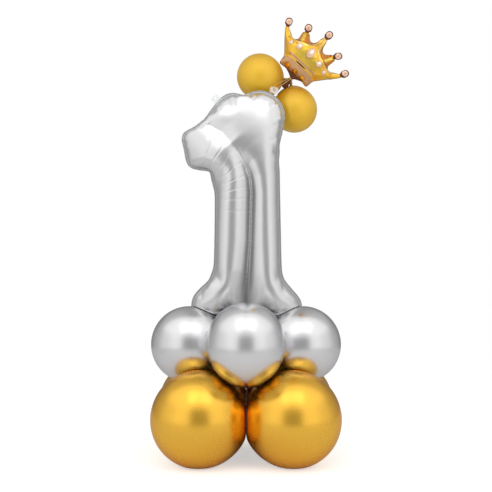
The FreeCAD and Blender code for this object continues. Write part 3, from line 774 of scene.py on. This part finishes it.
class Foil:
    """Foil balloon of two flat films welded along their edge: its panel and its swollen shape."""

    def __init__(self, corners, spacing, frames):
        flat, front, edge = flat_panel(corners, spacing)
        self.flat, self.edge = flat, edge
        self.both = np.vstack([flat, flat[edge:]])
        lift = np.minimum(distance_to(flat, flat[:edge]) * 0.25, 0.006)
        before = np.c_[flat[:, 0], -lift, flat[:, 1]]
        behind = np.c_[flat[edge:, 0], lift[edge:], flat[edge:, 1]]
        back = np.where(front < edge, front, front + len(flat) - edge)[:, ::-1]
        self.front_faces, self.back_faces = front, back
        points = np.vstack([before, behind])
        self.points = inflate(points, np.vstack([front, back]), frames)
        turn, middle = square_up(self.points[:edge], points[:edge])
        plane = (self.points[:, [0, 2]] - middle) @ turn.T
        depth = self.points[:, 1] - self.points[:edge, 1].mean()
        self.points = np.c_[plane[:, 0], depth, plane[:, 1]]

    def iron_seam(self, passes, reach):
        """Evens out the seam's broad waves, and the film within reach of it follows."""
        seam = self.points[: self.edge]
        shift = evened(seam, passes) - seam
        away = np.linalg.norm(self.both[:, None] - self.flat[None, : self.edge], axis=2)
        nearest = away.argmin(axis=1)
        share = np.exp(-((away.min(axis=1) / reach) ** 2))
        self.points = self.points + shift[nearest] * share[:, None]

    def soften(self, middle, reach, passes):
        """Smooths the film's sharp buckles within reach of a flat place."""
        away = np.linalg.norm(self.both - middle, axis=1)
        share = np.exp(-((away / reach) ** 2))
        share[: self.edge] = 0
        faces = np.vstack([self.front_faces, self.back_faces])
        links = np.vstack([faces[:, [0, 1]], faces[:, [1, 2]], faces[:, [2, 0]]])
        links = np.vstack([links, links[:, ::-1]])
        count = np.bincount(links[:, 0], minlength=len(self.both))[:, None]
        for _ in range(passes):
            mean = np.zeros_like(self.points)
            np.add.at(mean, links[:, 0], self.points[links[:, 1]])
            self.points = self.points + 0.6 * share[:, None] * (mean / count - self.points)


def weld(foil, width, ply, pleat, seed):
    """Flat welded margin round a foil balloon's seam, gathered into small pleats.

    Returns the points and faces of the closed form, and which points lie on the margin.
    """
    count = foil.edge
    seam = foil.points[:count]
    ahead = np.roll(seam, -1, axis=0) - np.roll(seam, 1, axis=0)
    ahead = evened(ahead, 2)
    outward = np.c_[ahead[:, 2], np.zeros(count), -ahead[:, 0]]
    outward /= np.linalg.norm(outward, axis=1)[:, None]
    cut = foil.flat[:count]
    slack = np.linalg.norm(cut - np.roll(cut, 1, axis=0), axis=1)
    slack /= np.linalg.norm(seam - np.roll(seam, 1, axis=0), axis=1)
    for _ in range(6):
        slack = (np.roll(slack, 1) + slack + np.roll(slack, -1)) / 3
    chance = np.random.default_rng(seed)
    step = np.linalg.norm(cut[1] - cut[0])
    phase = np.cumsum(step / (0.016 * chance.uniform(0.75, 1.3, count))) * math.tau
    wave = np.sin(phase) * pleat * (0.35 + np.clip((slack - 1.0) * 9, 0, 1.6))
    shares = (0.0, 0.35, 0.7, 1.0)
    rings = []
    for side, order in ((-1, shares), (1, shares[::-1])):
        for share in order:
            ring = seam + outward * width * share
            ring[:, 1] += side * ply / 2 + wave * share**1.2
            rings.append(ring)
    rim = np.vstack(rings[1:-1])
    front = foil.points.copy()
    front[:count] = rings[0]
    points = np.vstack([front, rim, rings[-1]])
    starts = [0] + [len(front) + count * index for index in range(len(rings) - 1)]
    faces = [tuple(face) for face in foil.front_faces] + band_faces(starts, count)
    back = np.where(foil.back_faces < count, foil.back_faces + starts[-1], foil.back_faces)
    faces += [tuple(face) for face in back]
    on_weld = np.zeros(len(points))
    on_weld[:count] = 1
    on_weld[len(front):] = 1
    return points, faces, on_weld


# The figure's film before it is blown up: (x from the column's axis, height, rounding).
NUMBER_PATTERN = [
    (0.136, 1.188, 0.100),
    (-0.058, 1.194, 0.100),
    (-0.226, 1.074, 0.020),
    (-0.234, 0.970, 0.020),
    (-0.162, 0.880, 0.140),
    (-0.148, 0.572, 0.150),
    (-0.184, 0.470, 0.020),
    (-0.174, 0.396, 0.020),
    (0.008, 0.412, 0.300),
    (0.190, 0.402, 0.020),
    (0.197, 0.475, 0.020),
    (0.161, 0.568, 0.130),
]
WELD_WIDTH = 0.008
WELD_PLY = 0.0005
FILM_SPACING = 0.009
FILM_FRAMES = 50
NUMBER_DEPTH = 0.076  # half its thickness at the thickest, before the valleys
# Places on its flat film where sharp buckles are smoothed: (across, height, reach, passes).
NUMBER_SOFT = [
    (-0.105, 0.93, 0.085, 20),
    (0.01, 0.88, 0.075, 50),
    (0.01, 0.78, 0.075, 50),
    (0.01, 0.68, 0.075, 50),
    (0.008, 0.58, 0.080, 40),
    (0.008, 0.49, 0.080, 30),
]
# Valleys between the number's lobes: (across, height, half width, share of depth lost) along each.
STEM_VALLEY = [
    (-0.019, 0.44, 0.050, 0.80),
    (-0.017, 0.52, 0.052, 0.74),
    (-0.010, 0.60, 0.054, 0.60),
    (-0.004, 0.70, 0.054, 0.52),
    (0.000, 0.86, 0.052, 0.50),
    (-0.004, 0.905, 0.050, 0.48),
    (-0.019, 0.950, 0.046, 0.42),
    (-0.039, 0.985, 0.040, 0.30),
    (-0.065, 1.015, 0.036, 0.0),
]
# STEM_CREASE also sets where painted shade darkens the silver film.
STEM_CREASE = [
    (-0.019, 0.44, 0.034, 0.60),
    (-0.017, 0.52, 0.032, 0.60),
    (-0.010, 0.60, 0.021, 0.50),
    (-0.004, 0.70, 0.016, 0.42),
    (0.000, 0.86, 0.015, 0.42),
    (-0.004, 0.905, 0.014, 0.36),
    (-0.019, 0.950, 0.013, 0.26),
    (-0.039, 0.985, 0.012, 0.0),
]
FLAG_VALLEY = [
    (-0.065, 1.015, 0.030, 0.10),
    (-0.098, 1.058, 0.030, 0.30),
    (-0.133, 1.078, 0.026, 0.34),
    (-0.193, 1.062, 0.020, 0.10),
]


def depth_lost(points, valley):
    """Share of its depth that film at these points loses to a valley."""
    places = points[:, [0, 2]]
    nearest = np.full(len(points), np.inf)
    width, share = np.ones(len(points)), np.zeros(len(points))
    for start, end in zip(np.array(valley), np.array(valley[1:])):
        along = (end - start)[:2]
        run = np.clip((places - start[:2]) @ along / (along @ along), 0, 1)
        at = start + run[:, None] * (end - start)
        away = np.linalg.norm(places - at[:, :2], axis=1)
        closer = away < nearest
        nearest = np.where(closer, away, nearest)
        width = np.where(closer, at[:, 2], width)
        share = np.where(closer, at[:, 3], share)
    return share * np.exp(-((nearest / width) ** 1.15))


def round_out(points):
    """Evens the swell to a fuller and shallower section, shallowest in the head."""
    x, y, z = points.T
    depth = NUMBER_DEPTH * (np.abs(y) / np.abs(y).max()) ** 0.75
    shallow = 0.15 * np.exp(-(((z - 1.02) / 0.09) ** 2))
    return np.c_[x, np.sign(y) * depth * (1 - shallow), z]


def creases(places):
    """Fine creases that fan out from the concave corner and carry on down the stem.

    Returns each place's turn round the corner and how deeply it's creased.
    """
    across, up = (places - (-0.194, 0.842)).T
    turn = np.where(up > 0, np.arctan2(up, across), up / 0.19)
    away = np.where(up > 0, np.hypot(across, up), across)
    band = np.clip((away - 0.085) / 0.03, 0, 1) * np.clip((0.225 - away) / 0.03, 0, 1)
    along = np.clip((1.45 - turn) / 0.3, 0, 1) * np.clip((turn + 0.55) / 0.3, 0, 1)
    return turn, band * along


def clear_of_balls(points, balls, room):
    """Pushes film out of the balloons that it leans on, towards its seam or else outwards."""
    for centre, radius in balls:
        centre, reach = np.array(centre), radius + room
        away = points - centre
        if abs(centre[1]) > 0.1:
            face = math.copysign(1, -centre[1])
            beside = np.hypot(away[:, 0], away[:, 2])
            surface = np.sqrt(np.maximum(reach**2 - beside**2, 0))
            clear = smooth_most(away[:, 1] * face, surface, 0.008) * face
            away[:, 1] = np.where(beside < reach, clear, away[:, 1])
        else:
            distance = np.linalg.norm(away, axis=1)
            clear = smooth_most(distance, reach, 0.004)
            close = distance < radius + 0.03
            away = np.where(close[:, None], away * (clear / distance)[:, None], away)
        points = centre + away
    return points


def add_number():
    """The foil figure 1."""
    foil = Foil(NUMBER_PATTERN, FILM_SPACING, FILM_FRAMES)
    foil.iron_seam(4, 0.04)
    for across, height, reach, passes in NUMBER_SOFT:
        foil.soften((across, height), reach, passes)
    low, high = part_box("number_front_film")
    seam = foil.points[: foil.edge]
    middle = (seam[:, 0].min() + seam[:, 0].max()) / 2
    rise = high.z - WELD_WIDTH - seam[:, 2].max()
    foil.points += ((low.x + high.x) / 2 - middle, 0, rise)
    balls = [ball[:2] for ball in nest_balls().values() if ball[3] == "silver"]
    foil.points = round_out(foil.points)
    for valley in (STEM_VALLEY, STEM_CREASE, FLAG_VALLEY):
        foil.points[:, 1] *= 1 - depth_lost(foil.points, valley)
    foil.points = clear_of_balls(foil.points, balls, 0.0015)
    points, faces, on_weld = weld(foil, WELD_WIDTH, WELD_PLY, pleat=0.0016, seed=3)
    waist, seam = np.array(NUMBER_WAIST), foil.points[: foil.edge]
    bottom = seam[(np.abs(seam[:, 0] - waist[0]) < 0.03) & (seam[:, 2] < 0.52)].mean(0)
    top, end = bottom + (0, 0, 0.004), waist - (0, 0, 0.013)
    tail = filling_tail(top, waist, end, wide=0.040, flare=0.009)
    points, faces, on_weld = with_tail(points, faces, on_weld, tail)
    material = silver_foil()
    nodes = ("number_front_film", "number_back_film")
    item = build("number_film", points, faces, material, "number", "silver_film", *nodes)
    turn, creased = creases(points[:, [0, 2]])
    # Painted shade: how deep the stem's crease is here, which silver_foil turns into darker film.
    deep = depth_lost(points, STEM_CREASE)
    for name, values in (("weld", on_weld), ("turn", turn), ("creased", creased), ("deep", deep)):
        store(item, name, values)
    subdivide(item)


# The crown's film in its own plane, from the middle of its band's lower edge.
CROWN_LEAN = math.radians(43)
# Its five tips on the flat film, which the swelling draws up and inwards: (across, up, lean in
# degrees), and the dips between them.
FLAT_TIPS = [
    (-0.137, 0.091, -50),
    (-0.070, 0.149, -26),
    (0.0, 0.177, 0),
    (0.070, 0.149, 26),
    (0.134, 0.091, 50),
]
CROWN_DIPS = [(-0.076, 0.090), (-0.023, 0.118), (0.023, 0.118), (0.076, 0.090)]
CROWN_SPACING = 0.0036
CROWN_FRAMES = 45
CROWN_CUT = 1.14  # how much wider the flat film is than the swollen crown
TIP_BALL = 0.0125
TIP_NECK = 0.0062
CROWN_WELD = 0.0042
CROWN_TAIL_X = 0.0064
CROWN_TAIL_DROP = -0.017


def crown_place():
    """Where the crown leans, from the waist of its tail."""
    turn = Matrix.Rotation(CROWN_LEAN, 4, "Y")
    at = CROWN_WAIST - turn @ Vector((CROWN_TAIL_X, 0, CROWN_TAIL_DROP))
    return Matrix.Translation(at) @ turn


def crown_pattern():
    """Outline of the crown's flat film as (x, z, rounding) corners, left to right over the top."""
    corners = [(-0.054, -0.006, 0.008), (-0.064, 0.018, 0.030)]
    for index, (x, z, lean) in enumerate(FLAT_TIPS):
        turn = math.radians(lean)
        up = Vector((math.sin(turn), math.cos(turn)))
        side = Vector((up.y, -up.x))
        tip = Vector((x, z))
        for across, along, rounding in (
            (-TIP_NECK, -TIP_BALL - 0.004, 0.004),
            (-TIP_BALL, -TIP_BALL, 0.010),
            (-TIP_BALL, TIP_BALL, 0.012),
            (TIP_BALL, TIP_BALL, 0.012),
            (TIP_BALL, -TIP_BALL, 0.010),
            (TIP_NECK, -TIP_BALL - 0.004, 0.004),
        ):
            corner = tip + side * across / CROWN_CUT + up * along / CROWN_CUT
            corners.append((corner.x, corner.y, rounding / CROWN_CUT))
        if index < len(CROWN_DIPS):
            corners.append((*CROWN_DIPS[index], 0.022))
    corners += [(0.064, 0.018, 0.030), (0.054, -0.006, 0.008)]
    return [tuple(CROWN_CUT * value for value in corner) for corner in corners]


# Lower edge of the printed rim that swings from tip to tip over the crown's front: (across, up).
CROWN_RIM = [
    (0.0, 0.180),
    (0.005, 0.155),
    (0.006, 0.130),
    (0.014, 0.106),
    (0.032, 0.093),
    (0.051, 0.087),
    (0.075, 0.083),
    (0.101, 0.090),
    (0.123, 0.116),
]
# Printed pearls and beads: (across, up, half width, half height).
CROWN_PEARLS = [
    (0.0, 0.084, 0.0125, 0.0195),
    (0.044, 0.076, 0.0100, 0.0115),
    (0.074, 0.068, 0.0068, 0.0090),
]
CROWN_BEADS = [(0.0, 0.007, 0.009, 0.0075), (0.032, 0.007, 0.009, 0.0075)]


def step_down(value, edge, soft):
    """1 below an edge and 0 above it, with a soft change between."""
    share = np.clip((edge + soft - value) / (2 * soft), 0, 1)
    return share * share * (3 - 2 * share)


def crown_print(places, on_weld, tips):
    """Ink of the crown at places on it: colours, and how far each is opaque instead of metallic.

    A gold body with a swagged rim, pearls, and a pale double band over a row of amber beads.
    """
    side = np.abs(places[:, 0])
    up = places[:, 1]
    folded = np.c_[side, up]
    rim_up = np.interp(side, *np.array(CROWN_RIM).T)
    colours = np.tile((0.86, 0.46, 0.035), (len(places), 1))
    opaque = np.full(len(places), 0.35)

    def ink(mask, colour, cover=0.0):
        colours[:] = colours + mask[:, None] * (np.array(colour) - colours)
        opaque[:] = opaque + mask * (cover - opaque)

    behind = step_down(rim_up, up, 0.002)
    ink(behind, (0.78, 0.27, 0.012), 0.4)
    lean = from_line(folded, [(0.052, 0.095), (0.060, 0.125), (0.0655, 0.150)])
    ink(behind * step_down(lean, 0.005, 0.002), (1.0, 0.72, 0.12), 0.4)
    middle = step_down(side, 0.05, 0.03) * step_down(np.abs(up - 0.065), 0.02, 0.015)
    ink(middle, (0.80, 0.55, 0.07), 0.35)
    rim = from_line(folded, CROWN_RIM)
    ink(step_down(rim, 0.0085, 0.0012) * behind, (0.20, 0.045, 0.004), 0.4)
    ink(step_down(rim, 0.0060, 0.0012), (1.0, 0.50, 0.030), 0.5)
    ink(step_down(rim, 0.0018, 0.0014), (1.0, 0.80, 0.30), 0.5)
    for across, height, wide, tall in CROWN_PEARLS:
        away = np.hypot((side - across) / wide, (up - height) / tall)
        ink(step_down(away, 1.12, 0.10), (0.60, 0.33, 0.10), 0.4)
        ink(step_down(away, 0.92, 0.16), (0.74, 0.50, 0.34), 0.8)
        lit = np.hypot((side - across) / wide + 0.1, (up - height) / tall - 0.25)
        ink(step_down(lit, 0.42, 0.2), (0.95, 0.87, 0.78), 0.8)
    low = step_down(up, 0.024, 0.0015)
    ink(low, (0.60, 0.33, 0.15), 0.45)
    for height in (0.027, 0.041):
        stripe = step_down(np.abs(up - height), 0.0032, 0.0008) * step_down(side, 0.055, 0.004)
        ink(stripe, (0.62, 0.38, 0.23), 0.5)
        ink(step_down(np.abs(up - height), 0.0008, 0.0006) * stripe, (0.40, 0.20, 0.09), 0.5)
    slit = np.hypot(side / 0.021, (up - 0.034) / 0.0024)
    ink(step_down(slit, 1.0, 0.2), (0.10, 0.025, 0.005), 0.3)
    for across, height, wide, tall in CROWN_BEADS:
        away = np.hypot((side - across) / wide, (up - height) / tall)
        ink(step_down(away, 1.2, 0.12), (0.40, 0.17, 0.05), 0.4)
        ink(step_down(away, 0.95, 0.15), (0.90, 0.40, 0.02))
        ink(step_down(away, 0.35, 0.2), (1.0, 0.62, 0.12))
    tip_away = np.min([np.hypot(places[:, 0] - x, up - z) for x, z in tips], axis=0)
    # Dark brown print on the weld margin. The crown's tail, which on_weld also covers, takes the
    # same dark ink: partly the tail's own dark film, partly painted shade in the gap between the
    # small balloons.
    ink(on_weld, (0.11, 0.030, 0.006), 0.5)
    ink(step_down(tip_away, 0.0185, 0.001), (0.09, 0.022, 0.008), 0.6)
    ink(step_down(tip_away, 0.0098, 0.001), (0.80, 0.52, 0.37), 0.8)
    ink(step_down(tip_away, 0.0030, 0.001), (0.45, 0.26, 0.14), 0.8)
    return colours, opaque


WAIST_HALF = 0.0044  # half the width and half the depth of a tail where it's tied
WAIST_DEEP = 0.0032


def filling_tail(middle, waist, end, wide, flare):
    """Gathered tail of film from a seam down to its tied waist and flaring past it.

    middle, waist and end are (x, y, z) places; wide is half the gathered width at the seam and
    flare half the width at the end.
    """
    middle, waist, end = np.array(middle), np.array(waist), np.array(end)
    around = np.linspace(0, 2 * np.pi, 66, endpoint=False)
    rings = []
    for run in np.linspace(0, 1, 17):
        if run < 0.5:
            share = (1 - run * 2) ** 1.6
            centre = waist + (middle - waist) * (1 - run * 2)
            half = WAIST_HALF + (wide - WAIST_HALF) * share
            deep = WAIST_DEEP + 0.0012 * share
        else:
            share = (run * 2 - 1) ** 1.2
            centre = waist + (end - waist) * (run * 2 - 1)
            half = WAIST_HALF + (flare - WAIST_HALF) * share
            deep = WAIST_DEEP + 0.0040 * share
        pleat = 1 + (0.10 + 0.22 * share) * np.cos(11 * around + 1.5 * np.sin(2 * around + run))
        ring = np.c_[half * np.cos(around), deep * np.sin(around) * pleat, 0 * around]
        rings.append(centre + ring)
    count = len(around)
    faces = band_faces([row * count for row in range(len(rings))], count)
    faces.append(tuple(range(count)))
    faces.append(tuple(range(len(rings) * count - 1, (len(rings) - 1) * count - 1, -1)))
    return np.vstack(rings), faces


def with_tail(points, faces, on_weld, tail):
    """A film's points and faces joined with its tail's."""
    tail_points, tail_faces = tail
    faces = [tuple(face) for face in faces]
    faces += [tuple(corner + len(points) for corner in face) for face in tail_faces]
    return np.vstack([points, tail_points]), faces, np.r_[on_weld, np.ones(len(tail_points))]


def add_crown():
    """The foil crown."""
    foil = Foil(crown_pattern(), CROWN_SPACING, CROWN_FRAMES)
    seam, cut = foil.points[: foil.edge], foil.flat[: foil.edge]
    foil.points += (0, 0, -0.004 - seam[:, 2].min())
    seam = foil.points[: foil.edge, [0, 2]]
    tips = [
        seam[np.linalg.norm(cut - np.array((x, z)) * CROWN_CUT, axis=1) < 0.0185].mean(0)
        for x, z, _ in FLAT_TIPS
    ]
    middle = seam[(np.abs(seam[:, 0]) < 0.02) & (seam[:, 1] < 0.04)].mean(0)
    points, faces, on_weld = weld(foil, CROWN_WELD, WELD_PLY, pleat=0.0006, seed=5)
    top, waist = (0, 0, middle[1] + 0.004), (CROWN_TAIL_X, 0, CROWN_TAIL_DROP)
    # The tail is long and flared to fill the gap between the small balloons, and its dark ink there
    # is partly painted shade.
    tail = filling_tail(top, waist, (0.002, 0.001, -0.056), wide=0.048, flare=0.020)
    points, faces, on_weld = with_tail(points, faces, on_weld, tail)
    flat = points[:, [0, 2]]
    place = np.array(crown_place())
    points = points @ place[:3, :3].T + place[:3, 3]
    nodes = ("crown_front_film", "crown_back_film")
    item = build("crown_film", points, faces, gold_foil(), "crown", "gold_film", *nodes)
    for name, values in (("weld", on_weld), ("across", flat[:, 0]), ("up", flat[:, 1])):
        store(item, name, values)
    refine(item, 2)
    places = np.c_[recall(item, "across"), recall(item, "up")]
    colours, opaque = crown_print(places, recall(item, "weld"), tips)
    for name, values in zip(("red", "green", "blue"), colours.T):
        store(item, name, values)
    store(item, "opaque", opaque)


# ---------------------------------------------------------------- carried pieces


def paint_carried():
    """Materials of the CAD pieces that show as they are."""
    ribbon, clear = satin_ribbon(), clear_film()
    for name, node in frame["nodes"].items():
        if "tie" in name or "ribbon" in name:
            paint = ribbon
        elif "valve" in name or "tab" in name:
            paint = clear
        else:
            continue
        node.data.materials.clear()
        node.data.materials.append(paint)


add_camera()
add_studio()
add_nests()
add_small_balloons()
add_number()
add_crown()
paint_carried()
